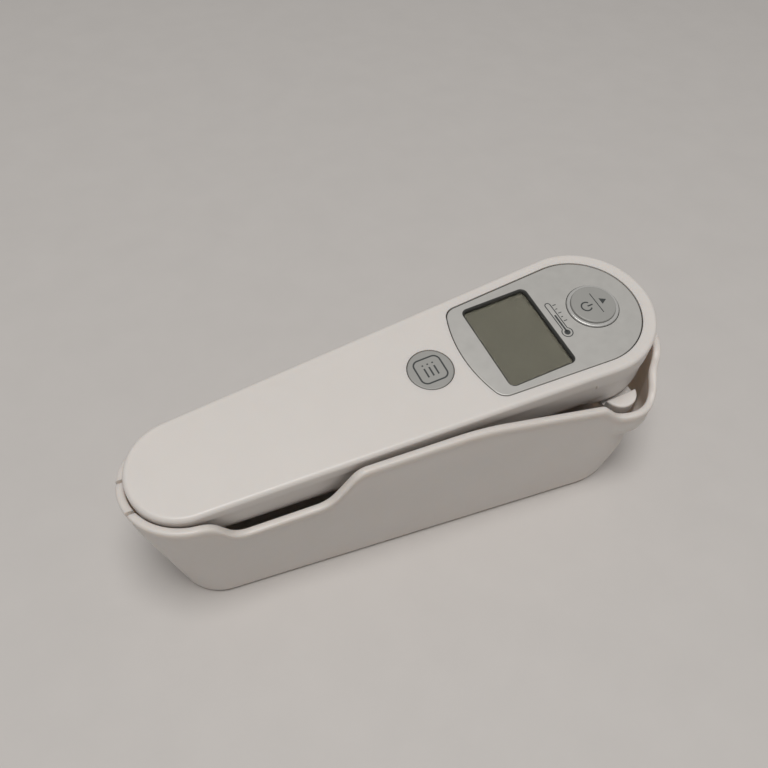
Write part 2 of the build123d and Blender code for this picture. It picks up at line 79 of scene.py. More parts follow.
# The face panel: two circles that its sides touch, the arc that ends it, and its round corners
PANEL_TOP = -0.08
PANEL_TAIL_X = 13.1
PANEL_TAIL_R = 9.75
PANEL_HEAD_X = 118.7
PANEL_HEAD_R = 16.1
PANEL_END_X = 84.7
PANEL_END_R = 36.0
PANEL_CORNER = 3.6
PANEL_GAP = 0.3

# The ejector's two coils, from the casing's floor to the washer on each post
SPRING_X = 123.0
SPRING_Y = 12.0
SPRING_LOW = -14.7
SPRING_HIGH = -9.75
SPRING_R = 1.75
SPRING_WIRE = 0.35
SPRING_TURNS = 5

# ---- Sizes of the pieces that are made only here, mm ----

# The bead in the groove round the panel: black adhesive that also paints shade into the groove
SEAL_TOP = -0.5
SEAL_T = 0.25
SEAL_OVERLAP = 0.1

# The dark liner of the display's recess, partly its dark bevel and partly painted shade on the recess
# walls, once round its section: (outward from the opening, height)
LINER_PROFILE = [
    (0.34, PANEL_TOP - 0.05),
    (0.42, PANEL_TOP),
    (0.38, PANEL_TOP + 0.02),
    (0.26, PANEL_TOP - 0.02),
    (0.0, -0.42),
    (-0.06, -0.6),
    (-0.1, WINDOW_TOP + 0.01),
    (-0.02, WINDOW_TOP + 0.01),
    (-0.02, -0.7),
    (0.1, -0.5),
]
LINER_SHARP = 35

# Printed marks: how far they stand above a surface, their thickness and the widths of their lines
MARK_PROUD = 0.02
MARK_T = 0.05
BOLD_LINE = 0.42
FINE_LINE = 0.24

# The START key's mark, from the key's middle: power sign toward the tail, bar, triangle toward the head
POWER_X = -2.1
POWER_R = 1.35
POWER_LINE = 0.4
POWER_BAR = (0.3, 0.45)
BAR_X = 0.95
BAR_HALF = 3.3
TRIANGLE_X0, TRIANGLE_X1 = 2.2, 3.9
TRIANGLE_HALF = 1.0

# The memory key's mark: a rounded square round three list rows, each a dot and a line
SQUARE_HALF = 3.5
SQUARE_CORNER = 1.6
LIST_ROWS = (-1.35, 0, 1.35)
LIST_DOT = (1.9, 1.5)
LIST_LINE = (0.8, -1.9)

# The thermometer sign, which lies across the panel
SIGN_X = 112.4
SIGN_LINE = 0.26
BULB_Y = -4.3
BULB_R = 1.4
BULB_FILL_R = 0.8
STEM_END_Y = 5.0
STEM_R = 0.72
COLUMN_TOP_Y = 1.6
COLUMN_LINE = 0.5
TICKS = 5
TICK_X = 1.15
TICK_Y = -0.9
TICK_STEP = 1.35
LONG_TICK, SHORT_TICK = 0.95, 0.6

# ---- Storage case, in its own frame, mm ----

# (height, tail centre, tail radius, head centre, head radius)
HULL = [
    (0.0, 19.0, 10.7, 117.0, 19.9),
    (12.0, 17.0, 12.2, 118.3, 21.9),
    (24.0, 15.2, 13.9, 119.1, 22.5),
    (33.0, 14.3, 15.2, 119.4, 22.7),
    (44.0, 14.2, 15.5, 119.5, 22.8),
]
# The rim's line from the tail to the head: (x, height, radius of the corner)
RIM = [
    (-12.0, 36.8, 0),
    (14.8, 36.8, 6.0),
    (20.3, 29.3, 5.0),
    (41.6, 30.7, 6.0),
    (48.9, 39.8, 5.0),
    (80.0, 41.1, 60.0),
    (115.4, 34.5, 3.0),
    (120.2, 29.8, 3.5),
    (131.5, 30.4, 4.0),
    (137.5, 39.0, 4.0),
    (160.0, 39.0, 0),
]
# The underside, from the recess to the foot ring: (inset from the wall's foot, height)
FOOT_PROFILE = [(7.5, 0.5), (5.6, 0.5), (5.2, 0.42), (4.9, 0.12), (4.6, 0.0), (3.4, 0.0)]
BASE_ROUND = 1.6
CASE_WALL = 1.3
CASE_FLOOR = 2.0
FLOOR_ROUND = 2.2
FLOOR_EDGE = 1.2

# The swelled lip below the rim: how far it stands out, how high it is, how square its top is
LIP = 0.45
LIP_INWARD = 0.28
LIP_HEIGHT = 2.3
LIP_SQUARE = 0.65

# The two side pockets for the ejector's ears
LOBE_X = 125.4
LOBE_Y = 15.1
LOBE_R = 9.2
LOBE_FLOOR = 19.5
LOBE_ROUND = 5.5
LOBE_BLEND = 1.6

# The two slots beside the tail tab
TAB_HALF = 4.6
NOTCH_WIDTH = 0.9
NOTCH_DEPTH = 9.0
CUTTER_TOP = 50.0
CUTTER_ENDS = (-10, 8)

# How finely the case's surface is divided
SIDE_COLUMNS = 150
HEAD_COLUMNS = 110
TAIL_COLUMNS = 60
WALL_ROWS = 40
LIP_STEPS = 6
RIM_STEPS = 10
CORNER_STEPS = 6
SLOT_STEPS = 8
RIM_PASSES = 4
CASE_SHARP = 40

# The case's frame has its origin below the handset's tail end
SEAT_X = 0.35
CASE_PLACE = Matrix.Translation((HANDSET_ORIGIN.x - SEAT_X * MM, 0, 0)) @ Matrix.Scale(MM, 4)


# ---- Small helpers ----

def new_object(name, mesh, body):
    """A finished mesh, in the row frame, as a piece that rides on a body."""
    piece = bpy.data.objects.new(name, mesh)
    bpy.context.scene.collection.objects.link(piece)
    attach(piece, body)
    return piece


def mesh_from(points, faces, name, place, smooth=True):
    """A mesh of points that are given in the frame of a place."""
    mesh = bpy.data.meshes.new(name)
    mesh.from_pydata([place @ Vector(p) for p in points], [], faces)
    mesh.update()
    for polygon in mesh.polygons:
        polygon.use_smooth = smooth
    return mesh


def join_shapes(shapes):
    """Several (points, faces) as one."""
    points, faces = [], []
    for more_points, more_faces in shapes:
        faces += [tuple(index + len(points) for index in face) for face in more_faces]
        points += more_points
    return points, faces


def loops_to_faces(count, loops, close_start=False, close_end=False):
    """Quads between loops of the same number of points, the ends closed with one face each."""
    faces = []
    for row in range(loops - 1):
        for column in range(count):
            a = row * count + column
            b = row * count + (column + 1) % count
            faces.append((a, b, b + count, a + count))
    if close_start:
        faces.append(tuple(reversed(range(count))))
    if close_end:
        start = (loops - 1) * count
        faces.append(tuple(range(start, start + count)))
    return faces


def fix_normals(mesh):
    """Turns every face of a closed mesh outward."""
    bm = bmesh.new()
    bm.from_mesh(mesh)
    bmesh.ops.recalc_face_normals(bm, faces=bm.faces)
    bm.to_mesh(mesh)
    bm.free()


def sharpen(piece, degrees):
    """Smooth shading that breaks at edges sharper than an angle."""
    bm = bmesh.new()
    bm.from_mesh(piece.data)
    limit = math.radians(degrees)
    for face in bm.faces:
        face.smooth = True
    for edge in bm.edges:
        edge.smooth = len(edge.link_faces) != 2 or edge.calc_face_angle() < limit
    bm.to_mesh(piece.data)
    bm.free()


def apply_modifiers(piece):
    """Turns the piece's modified shape into its mesh."""
    graph = bpy.context.evaluated_depsgraph_get()
    finished = bpy.data.meshes.new_from_object(piece.evaluated_get(graph))
    piece.modifiers.clear()
    piece.data = finished


def rounded_line(corners, steps=10):
    """Points (x, z) along a polyline whose corners are rounded to their own radii."""
    points = [corners[0][:2]]
    for before, corner, after in zip(corners, corners[1:], corners[2:]):
        radius = corner[2]
        middle = Vector(corner[:2])
        to_before = (Vector(before[:2]) - middle).normalized()
        to_after = (Vector(after[:2]) - middle).normalized()
        half = to_before.angle(to_after) / 2
        reach = radius / math.tan(half)
        centre = middle + (to_before + to_after).normalized() * (radius / math.sin(half))
        start = middle + to_before * reach - centre
        end = middle + to_after * reach - centre
        turn = start.angle_signed(end)
        for step in range(steps + 1):
            arm = Matrix.Rotation(-turn * step / steps, 2) @ start
            points.append(tuple(centre + arm))
    points.append(corners[-1][:2])
    return points


def interpolate(x, points):
    """Height of a line of points, in order of x, at x."""
    for (x0, z0), (x1, z1) in zip(points, points[1:]):
        if x <= x1:
            return z0 + (z1 - z0) * (x - x0) / max(x1 - x0, 1e-9)
    return points[-1][1]


def smooth_max(a, b, blend):
    """The larger of two values, with the corner between them rounded over blend."""
    gap = max(blend - abs(a - b), 0) / blend
    return max(a, b) + gap * gap * blend / 4


# ---- Storage case ----

RIM_LINE = rounded_line(RIM)


def section(height):
    """The hull's four outline values at a height, on smooth curves through the rows of HULL."""
    index = max(i for i, row in enumerate(HULL[:-1]) if height >= row[0] or i == 0)
    low, high = HULL[index], HULL[index + 1]
    before = HULL[index - 1] if index else None
    after = HULL[index + 2] if index + 2 < len(HULL) else None
    span = high[0] - low[0]
    t = (height - low[0]) / span
    values = []
    for column in range(1, len(low)):
        slope = (high[column] - low[column]) / span
        slope_low = slope if before is None else (high[column] - before[column]) / (high[0] - before[0])
        slope_high = slope if after is None else (after[column] - low[column]) / (after[0] - low[0])
        a = (2 * t ** 3 - 3 * t ** 2 + 1) * low[column] + (3 * t ** 2 - 2 * t ** 3) * high[column]
        b = (t ** 3 - 2 * t ** 2 + t) * span * slope_low + (t ** 3 - t ** 2) * span * slope_high
        values.append(a + b)
    return values


def make_columns():
    """Where each column of the case's wall stands in plan: on an arc or on a straight side."""
    columns = [("near", step / SIDE_COLUMNS) for step in range(SIDE_COLUMNS)]
    columns += [("head", 2 * step / HEAD_COLUMNS - 1) for step in range(HEAD_COLUMNS)]
    columns += [("far", step / SIDE_COLUMNS) for step in range(SIDE_COLUMNS)]
    columns += [("tail", 2 * step / TAIL_COLUMNS - 1) for step in range(TAIL_COLUMNS)]
    return columns


def hull_point(column, height, inset):
    """A point of the hull's outline, and its outward normal in plan."""
    tail_x, tail_r, head_x, head_r = section(height)
    part, share = column
    lean = math.asin((head_r - tail_r) / (head_x - tail_x))
    quarter = math.pi / 2
    if part == "head":
        angle = share * (quarter + lean)
        centre, radius = head_x, head_r
    elif part == "tail":
        angle = math.pi + share * (quarter - lean)
        centre, radius = tail_x, tail_r
    else:
        side = 1 if part == "far" else -1
        angle = side * (quarter + lean)
        toward_head = share if part == "near" else 1 - share
        centre = tail_x + toward_head * (head_x - tail_x)
        radius = tail_r + toward_head * (head_r - tail_r)
    normal = Vector((math.cos(angle), math.sin(angle)))
    return Vector((centre, 0)) + normal * (radius - inset), normal


def lobe_push(point, normal, height, inset):
    """How far a pocket pushes the wall out, along the wall's normal."""
    floor = LOBE_FLOOR + inset
    round_r = LOBE_ROUND - inset
    above = height - floor
    if above <= 0:
        return 0
    radius = LOBE_R - inset
    if above < round_r:
        radius += math.sqrt(round_r ** 2 - (round_r - above) ** 2) - round_r
    push = 0
    for side in (-1, 1):
        to_centre = Vector((LOBE_X, side * LOBE_Y)) - point
        along = to_centre.dot(normal)
        aside = (to_centre - along * normal).length
        if aside < radius:
            push = max(push, smooth_max(0, along + math.sqrt(radius ** 2 - aside ** 2), LOBE_BLEND))
    return push


def wall_point(column, height, inset, swell=0.0):
    """A point of the wall in plan, with the pockets, moved out by swell."""
    point, normal = hull_point(column, height, inset)
    return point + normal * (lobe_push(point, normal, height, inset) + swell)


def rim_height(column):
    """The rim's height on a column, found in passes, as a pocket moves the column along the rim's line."""
    foot, _ = hull_point(column, 0, 0)
    rim = interpolate(foot.x, RIM_LINE)
    for _ in range(RIM_PASSES):
        rim = interpolate(wall_point(column, rim, 0).x, RIM_LINE)
    return rim


def base_points(column):
    """The underside, a foot ring round a shallow recess, and the round edge below the wall."""
    points = []
    for inset, height in FOOT_PROFILE:
        point, _ = hull_point(column, 0, inset)
        points.append((point.x, point.y, height))
    for step in range(CORNER_STEPS + 1):
        angle = math.radians(90 * step / CORNER_STEPS)
        height = BASE_ROUND * (1 - math.cos(angle))
        point, _ = hull_point(column, height, BASE_ROUND * (1 - math.sin(angle)))
        points.append((point.x, point.y, height))
    return points


def lip_points(column, rim, top_round):
    """The outer lip, the rounded rim and the inner lip."""
    lip_low = rim - top_round - LIP_HEIGHT
    points = []
    for step in range(1, LIP_STEPS + 1):
        height = lip_low + LIP_HEIGHT * step / LIP_STEPS
        swell = LIP * (1 - math.cos(math.pi * step / LIP_STEPS)) / 2
        points.append((*wall_point(column, height, 0, swell), height))
    outer = wall_point(column, rim, 0, LIP)
    inner = wall_point(column, rim, CASE_WALL, -LIP_INWARD)
    middle, half = (outer + inner) / 2, (outer - inner) / 2
    for step in range(1, RIM_STEPS):
        angle = math.pi * step / RIM_STEPS
        reach = math.copysign(abs(math.cos(angle)) ** LIP_SQUARE, math.cos(angle))
        place = middle + half * reach
        points.append((place.x, place.y, rim - top_round + top_round * math.sin(angle) ** LIP_SQUARE))
    for step in range(LIP_STEPS + 1):
        height = rim - top_round - LIP_HEIGHT * step / LIP_STEPS
        swell = LIP_INWARD * (1 + math.cos(math.pi * step / LIP_STEPS)) / 2
        points.append((*wall_point(column, height, CASE_WALL, -swell), height))
    return points


def floor_points(column):
    """The round corner inside, between wall and floor, and the edge of the flat floor."""
    points = []
    for step in range(1, CORNER_STEPS + 1):
        angle = math.radians(90 * step / CORNER_STEPS)
        inset = CASE_WALL + FLOOR_ROUND * (1 - math.cos(angle))
        height = CASE_FLOOR + FLOOR_ROUND * (1 - math.sin(angle))
        point, _ = hull_point(column, height, inset)
        points.append((point.x, point.y, height))
    point, _ = hull_point(column, CASE_FLOOR, CASE_WALL + FLOOR_ROUND + FLOOR_EDGE)
    points.append((point.x, point.y, CASE_FLOOR))
    return points


def case_column(column):
    """The points of one column, up the outside, over the rim and down the inside."""
    rim = rim_height(column)
    top_round = (CASE_WALL + LIP + LIP_INWARD) / 2
    lip_low = rim - top_round - LIP_HEIGHT
    floor_top = CASE_FLOOR + FLOOR_ROUND
    points = base_points(column)
    for step in range(1, WALL_ROWS + 1):
        height = BASE_ROUND + (lip_low - BASE_ROUND) * step / WALL_ROWS
        points.append((*wall_point(column, height, 0), height))
    points += lip_points(column, rim, top_round)
    for step in range(1, WALL_ROWS + 1):
        height = lip_low + (floor_top - lip_low) * step / WALL_ROWS
        points.append((*wall_point(column, height, CASE_WALL), height))
    return points + floor_points(column)


def cut_slots(case):
    """Cuts the two slots that free the tail tab, each with a rounded bottom."""
    cutters = []
    bottom = RIM[0][1] - NOTCH_DEPTH
    half = NOTCH_WIDTH / 2
    for side in (-1, 1):
        outline = [(-half, CUTTER_TOP), (half, CUTTER_TOP)]
        for step in range(SLOT_STEPS + 1):
            angle = math.pi * step / SLOT_STEPS
            outline.append((half * math.cos(angle), bottom + half - half * math.sin(angle)))
        points = [(x, side * TAB_HALF + y, z) for x in CUTTER_ENDS for y, z in outline]
        mesh = mesh_from(points, loops_to_faces(len(outline), 2, True, True), "slot_cutter", CASE_PLACE)
        cutter = bpy.data.objects.new("slot_cutter", mesh)
        bpy.context.scene.collection.objects.link(cutter)
        fix_normals(mesh)
        cut = case.modifiers.new("slot", "BOOLEAN")
        cut.operation = "DIFFERENCE"
        cut.solver = "EXACT"
        cut.object = cutter
        cutters.append(cutter)
    apply_modifiers(case)
    for cutter in cutters:
        bpy.data.objects.remove(cutter)


def make_case():
    """The open case as one closed mesh. It stands for the CAD's coarser one."""
    columns = make_columns()
    profiles = [case_column(column) for column in columns]
    rows = len(profiles[0])
    points = [profile[row] for row in range(rows) for profile in profiles]
    faces = loops_to_faces(len(columns), rows, True, True)
    mesh = mesh_from(points, faces, "open_storage_case", CASE_PLACE)
    case = new_object("open_storage_case", mesh, "case")
    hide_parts("storage_case")
    cut_slots(case)
    sharpen(case, CASE_SHARP)
    return case


# ---- Outlines in plan, and the flat shapes made from them ----

def arc(x, y, radius, start, end, steps=28):
    """Points on a circle between two angles in degrees."""
    angles = [math.radians(start + (end - start) * step / steps) for step in range(steps + 1)]
    return [(x + radius * math.cos(a), y + radius * math.sin(a)) for a in angles]


def rounded_square(x, y, half_x, half_y, corner, steps=8):
    """A closed path round a rectangle with round corners."""
    path = []
    for quarter, (sx, sy) in enumerate(((1, 1), (-1, 1), (-1, -1), (1, -1))):
        centre = (x + sx * (half_x - corner), y + sy * (half_y - corner))
        path += arc(*centre, corner, 90 * quarter, 90 * quarter + 90, steps)
    return path


def ribbon(path, width, top, thickness, closed):
    """A flat line of a given width along a path in plan, slightly thick, with square edges."""
    count = len(path)
    left, right = [], []
    for index, (x, y) in enumerate(path):
        before = path[index - 1] if index or closed else path[0]
        after = path[(index + 1) % count] if index + 1 < count or closed else path[-1]
        along = (Vector(after) - Vector(before)).normalized()
        aside = Vector((-along.y, along.x)) * width / 2
        left.append((x + aside.x, y + aside.y))
        right.append((x - aside.x, y - aside.y))
    points = [(x, y, top) for x, y in left + right]
    points += [(x, y, top - thickness) for x, y in left + right]
    low = 2 * count
    faces = []
    for index in range(count if closed else count - 1):
        after = (index + 1) % count
        a, b, c, d = index, after, count + after, count + index
        faces += [(d, c, b, a), (a + low, b + low, c + low, d + low)]
        faces += [(a, b, b + low, a + low), (c, d, d + low, c + low)]
    if not closed:
        end = count - 1
        faces += [(0, low, low + count, count), (end, count + end, low + count + end, low + end)]
    return points, faces


def plate(path, top, thickness):
    """A filled flat shape, its outline a closed path in plan."""
    count = len(path)
    points = [(x, y, top) for x, y in path] + [(x, y, top - thickness) for x, y in path]
    faces = [tuple(range(count)), tuple(reversed(range(count, 2 * count)))]
    for index in range(count):
        after = (index + 1) % count
        faces.append((index, after, after + count, index + count))
    return points, faces


# ---- Printed marks ----

def add_mark(name, shapes, top, body):
    """Printed shapes joined as one piece on a surface: (path, width, closed), or (path,) when filled."""
    high = top + MARK_PROUD
    made = []
    for path, *line in shapes:
        if line:
            width, closed = line
            made.append(ribbon(path, width, high, MARK_T, closed))
        else:
            made.append(plate(path, high, MARK_T))
    mesh = mesh_from(*join_shapes(made), name, HANDSET_MM, smooth=False)
    fix_normals(mesh)
    return new_object(name, mesh, body)


def power_shapes(x):
    """A broken ring with a short bar through its gap, the gap toward the head."""
    inner, outer = POWER_BAR
    ring = arc(x, 0, POWER_R, start=40, end=320)
    return [(ring, POWER_LINE, False), ([(x + inner, 0), (x + POWER_R + outer, 0)], POWER_LINE, False)]


def start_shapes():
    """A power sign, a bar across the key and a small triangle."""
    bar_x = START_X + BAR_X
    base_x = START_X + TRIANGLE_X0
    triangle = [(base_x, -TRIANGLE_HALF), (base_x, TRIANGLE_HALF), (START_X + TRIANGLE_X1, 0)]
    shapes = power_shapes(START_X + POWER_X)
    shapes.append(([(bar_x, -BAR_HALF), (bar_x, BAR_HALF)], FINE_LINE, False))
    shapes.append((triangle,))
    return shapes


def list_shapes():
    """A rounded square with a plain list in it."""
    square = rounded_square(MEMORY_X, 0, SQUARE_HALF, SQUARE_HALF, SQUARE_CORNER)
    shapes = [(square, BOLD_LINE, True)]
    for row in LIST_ROWS:
        for start, end in (LIST_DOT, LIST_LINE):
            shapes.append(([(MEMORY_X + row, start), (MEMORY_X + row, end)], BOLD_LINE, False))
    return shapes


def thermometer_shapes(x):
    """A plain thermometer lying across the panel: outline, bulb, column and tick marks."""
    opening = math.degrees(math.asin(STEM_R / BULB_R))
    outline = arc(x, BULB_Y, BULB_R, start=90 + opening, end=450 - opening)
    outline += arc(x, STEM_END_Y, STEM_R, start=0, end=180, steps=12)
    bulb = arc(x, BULB_Y, BULB_FILL_R, start=0, end=345, steps=23)
    shapes = [(outline, SIGN_LINE, True), (bulb,)]
    shapes.append(([(x, BULB_Y), (x, COLUMN_TOP_Y)], COLUMN_LINE, False))
    for tick in range(TICKS):
        tick_y = TICK_Y + TICK_STEP * tick
        length = LONG_TICK if tick % 2 == 0 else SHORT_TICK
        shapes.append(([(x + TICK_X, tick_y), (x + TICK_X + length, tick_y)], FINE_LINE, False))
    return shapes


def make_marks():
    """The three printed marks, each on the body whose surface carries it."""
    return [
        add_mark("start_button_mark", start_shapes(), START_CAP_TOP, "start_key"),
        add_mark("memory_button_mark", list_shapes(), MEMORY_TOP, "memory_key"),
        add_mark("panel_thermometer_mark", thermometer_shapes(SIGN_X), PANEL_TOP, "handset"),
    ]


# ---- Seal, liner and springs ----

def panel_outline(grow):
    """The face panel's outline in plan, grown a little: head arc, sides, round corners and end arc."""
    tail_r, head_r = PANEL_TAIL_R + grow, PANEL_HEAD_R + grow
    lean = math.asin((head_r - tail_r) / (PANEL_HEAD_X - PANEL_TAIL_X))
    end_x, end_r = PANEL_END_X + PANEL_END_R, PANEL_END_R + grow
    to_side = tail_r + (end_x - PANEL_TAIL_X) * math.sin(lean)
    side = 90 + math.degrees(lean)
    end = side + math.degrees(math.acos((to_side - PANEL_CORNER) / (end_r - PANEL_CORNER)))
    corner_x = end_x + (end_r - PANEL_CORNER) * math.cos(math.radians(end))
    corner_y = (end_r - PANEL_CORNER) * math.sin(math.radians(end))
    path = arc(PANEL_HEAD_X, 0, head_r, -side, side, steps=60)
    path += arc(corner_x, corner_y, PANEL_CORNER, side, end, steps=10)
    path += arc(end_x, 0, end_r, end, 360 - end, steps=40)[1:-1]
    path += arc(corner_x, -corner_y, PANEL_CORNER, 360 - end, 360 - side, steps=10)
    return path


def make_seal_and_groove_shade():
    """A dark bead of adhesive in the groove round the face panel, which also paints shade into the groove.
    """
    points, faces = ribbon(panel_outline(PANEL_GAP / 2), PANEL_GAP + SEAL_OVERLAP, SEAL_TOP, SEAL_T, True)
    mesh = mesh_from(points, faces, "panel_seal_and_groove_shade", HANDSET_MM, smooth=False)
    fix_normals(mesh)
    return new_object("panel_seal_and_groove_shade", mesh, "handset")


def make_lcd_surround():
    """A dark frame that lines the display's recess down to the window: partly the display's dark bevel,
    partly painted shade on the recess walls.
    """
    middle = (LCD_X0 + LCD_X1) / 2
    half = (LCD_X1 - LCD_X0) / 2
    points = []
    for grow, height in LINER_PROFILE:
        path = rounded_square(middle, 0, half + grow, LCD_HALF_Y + grow, LCD_CORNER + grow)
        points += [(x, y, height) for x, y in path]
    count = len(path)
    faces = loops_to_faces(count, len(LINER_PROFILE))
    last = (len(LINER_PROFILE) - 1) * count
    for column in range(count):
        after = (column + 1) % count
        faces.append((last + column, last + after, after, column))
    mesh = mesh_from(points, faces, "lcd_surround", HANDSET_MM)
    fix_normals(mesh)
    piece = new_object("lcd_surround", mesh, "handset")
    sharpen(piece, LINER_SHARP)
    return piece


def coil(x, y, turn_steps=36, wire_steps=12):
    """A coil's wire from its low end to its high end, as rings of points round it."""
    rise = (SPRING_HIGH - SPRING_LOW - SPRING_WIRE) / SPRING_TURNS
    points = []
    for step in range(SPRING_TURNS * turn_steps + 1):
        turn = 2 * math.pi * step / turn_steps
        outward = Vector((math.cos(turn), math.sin(turn), 0))
        along = Vector((-math.sin(turn), math.cos(turn), rise / (2 * math.pi * SPRING_R))).normalized()
        upward = outward.cross(along)
        height = SPRING_LOW + SPRING_WIRE / 2 + rise * step / turn_steps
        middle = Vector((x, y, height)) + outward * SPRING_R
        for side in range(wire_steps):
            angle = 2 * math.pi * side / wire_steps
            arm = outward * math.cos(angle) + upward * math.sin(angle)
            points.append(middle + arm * SPRING_WIRE / 2)
    return points, loops_to_faces(wire_steps, SPRING_TURNS * turn_steps + 1, True, True)


def make_springs():
    """The ejector's two coils, which stand on the casing."""
    points, faces = join_shapes([coil(SPRING_X, side * SPRING_Y) for side in (-1, 1)])
    mesh = mesh_from(points, faces, "ejector_coils", HANDSET_MM)
    fix_normals(mesh)
    springs = new_object("ejector_coils", mesh, "handset")
    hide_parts("ejector_springs")
    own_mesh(springs)
    return springs


# ---- Materials ----

# How far red, green and blue light travel inside the white plastic, m, then the colours, linear
SUBSURFACE_RADIUS = (0.006, 0.0044, 0.0034)

CASE_WHITE = (0.72, 0.655, 0.612)
SHELL_WHITE = (0.73, 0.685, 0.65)
PANEL_SILVER = (0.57, 0.56, 0.535)
BUTTON_SILVER = (0.56, 0.555, 0.54)
BUTTON_GREY = (0.355, 0.352, 0.335)
MARK_INK = (0.045, 0.05, 0.05)
# Dark bevel colour that also paints shade on the display's recess walls
BEVEL_AND_SHADE_DARK = (0.05, 0.05, 0.046)
MOULDED_BLACK = (0.02, 0.02, 0.02)
HOLDER_WHITE = (0.6, 0.59, 0.56)
PLATED_STEEL = (0.55, 0.55, 0.55)
CELL_STEEL = (0.6, 0.6, 0.6)
SPRING_STRIP = (0.55, 0.5, 0.38)
GOLD = (0.8, 0.58, 0.25)
LENS_DARK = (0.05, 0.05, 0.055)
FLOOR_PALE = (0.60, 0.575, 0.555)
OLIVE_DARK = (0.07, 0.066, 0.05)
OLIVE_LIGHT = (0.078, 0.073, 0.056)
CLEAR_PLASTIC = (0.93, 0.94, 0.92)
BOARD_GREEN = (0.012, 0.085, 0.035)
TRACK_GREEN = (0.03, 0.16, 0.06)
RUBBER_PINK = (0.5, 0.35, 0.32)
RUBBER_BLACK = (0.06, 0.06, 0.06)
FILM_AMBER = (0.5, 0.2, 0.04)
FILM_BROWN = (0.34, 0.12, 0.02)

# How much a finish's roughness varies either way
SHEEN_VARY = 0.05
# The board's tracks in cells per metre, and the wave texture's scale for stripes 1 mm wide
TRACK_SCALE = (420, 420, 420)
STRIPE_SCALE = MM_PER_M / 6.28


def new_material(name):
    """A material with its nodes, its links and its shader."""
    material = bpy.data.materials.new(name)
    material.use_nodes = True
    nodes = material.node_tree.nodes
    shader = nodes["Principled BSDF"]
    return material, nodes, material.node_tree.links, shader


def object_space(nodes, links, scale):
    """The object's own coordinates, scaled."""
    place = nodes.new("ShaderNodeTexCoord")
    mapping = nodes.new("ShaderNodeMapping")
    mapping.inputs["Scale"].default_value = scale
    links.new(place.outputs["Object"], mapping.inputs["Vector"])
    return mapping.outputs["Vector"]


def noise(nodes, links, scale, detail=3.0, rough=0.55, stretch=(1, 1, 1)):
    """A noise in the object's own space, its scale in features per millimetre."""
    vector = object_space(nodes, links, [MM_PER_M * scale * s for s in stretch])
    texture = nodes.new("ShaderNodeTexNoise")
    texture.inputs["Scale"].default_value = 1.0
    texture.inputs["Detail"].default_value = detail
    texture.inputs["Roughness"].default_value = rough
    links.new(vector, texture.inputs["Vector"])
    return texture.outputs["Fac"]


def spread(nodes, links, value, low, high, from_low=0.3, from_high=0.7):
    """Maps a noise value to a range."""
    node = nodes.new("ShaderNodeMapRange")
    node.inputs["From Min"].default_value = from_low
    node.inputs["From Max"].default_value = from_high
    node.inputs["To Min"].default_value = low
    node.inputs["To Max"].default_value = high
    links.new(value, node.inputs["Value"])
    return node.outputs["Result"]


def mix_colours(nodes, links, factor, first, second):
    """A blend of two colours."""
    node = nodes.new("ShaderNodeMix")
    node.data_type = "RGBA"
    node.inputs["A"].default_value = (*first, 1)
    node.inputs["B"].default_value = (*second, 1)
    links.new(factor, node.inputs["Factor"])
    return node.outputs["Result"]


def add_bump(nodes, links, shader, height, strength, distance):
    """Relief on a surface, its depth in mm."""
    relief = nodes.new("ShaderNodeBump")
    relief.inputs["Strength"].default_value = strength
    relief.inputs["Distance"].default_value = distance * MM
    links.new(height, relief.inputs["Height"])
    links.new(relief.outputs["Normal"], shader.inputs["Normal"])


def scaled(colour, factor):
    """A colour made lighter or darker."""
    return tuple(min(1.0, channel * factor) for channel in colour)


def surface(name, colour, roughness, grain=6.0, bump=0.03, depth=0.02, vary=0.03, metallic=0.0,
            stretch=(1, 1, 1), coat=0.0, subsurface=0.0):
    """A moulded, painted or metal finish: slow colour variation, uneven sheen and a fine grain."""
    material, nodes, links, shader = new_material(name)
    slow = noise(nodes, links, scale=0.06, detail=4.0)
    factor = spread(nodes, links, slow, 0, 1)
    tone = mix_colours(nodes, links, factor, scaled(colour, 1 - vary), scaled(colour, 1 + vary))
    links.new(tone, shader.inputs["Base Color"])
    uneven = noise(nodes, links, scale=0.35, detail=5.0, rough=0.6, stretch=stretch)
    sheen = spread(nodes, links, uneven, roughness - SHEEN_VARY, roughness + SHEEN_VARY)
    links.new(sheen, shader.inputs["Roughness"])
    fine = noise(nodes, links, grain, detail=2.0, rough=0.5, stretch=stretch)
    add_bump(nodes, links, shader, fine, bump, depth)
    shader.inputs["Metallic"].default_value = metallic
    shader.inputs["Coat Weight"].default_value = coat
    shader.inputs["Coat Roughness"].default_value = 0.25
    shader.inputs["Subsurface Weight"].default_value = subsurface
    shader.inputs["Subsurface Radius"].default_value = SUBSURFACE_RADIUS
    shader.inputs["Subsurface Scale"].default_value = 1.0
    return material


def lcd_material():
    """The blank display's olive polariser."""
    material, nodes, links, shader = new_material("lcd_polariser")
    slow = noise(nodes, links, scale=0.05, detail=2.0)
    factor = spread(nodes, links, slow, 0, 1)
    tone = mix_colours(nodes, links, factor, OLIVE_DARK, OLIVE_LIGHT)
    links.new(tone, shader.inputs["Base Color"])
    fine = noise(nodes, links, scale=9.0, detail=1.0)
    links.new(spread(nodes, links, fine, 0.4, 0.55), shader.inputs["Roughness"])
    shader.inputs["Specular IOR Level"].default_value = 0.2
    return material


def window_material():
    """Clear plastic with faint smears."""
    material, nodes, links, shader = new_material("clear_window")
    shader.inputs["Base Color"].default_value = (*CLEAR_PLASTIC, 1)
    shader.inputs["Transmission Weight"].default_value = 1.0
    shader.inputs["IOR"].default_value = 1.45
    smear = noise(nodes, links, scale=0.25, detail=5.0, rough=0.7)
    links.new(spread(nodes, links, smear, 0.02, 0.09), shader.inputs["Roughness"])
    return material


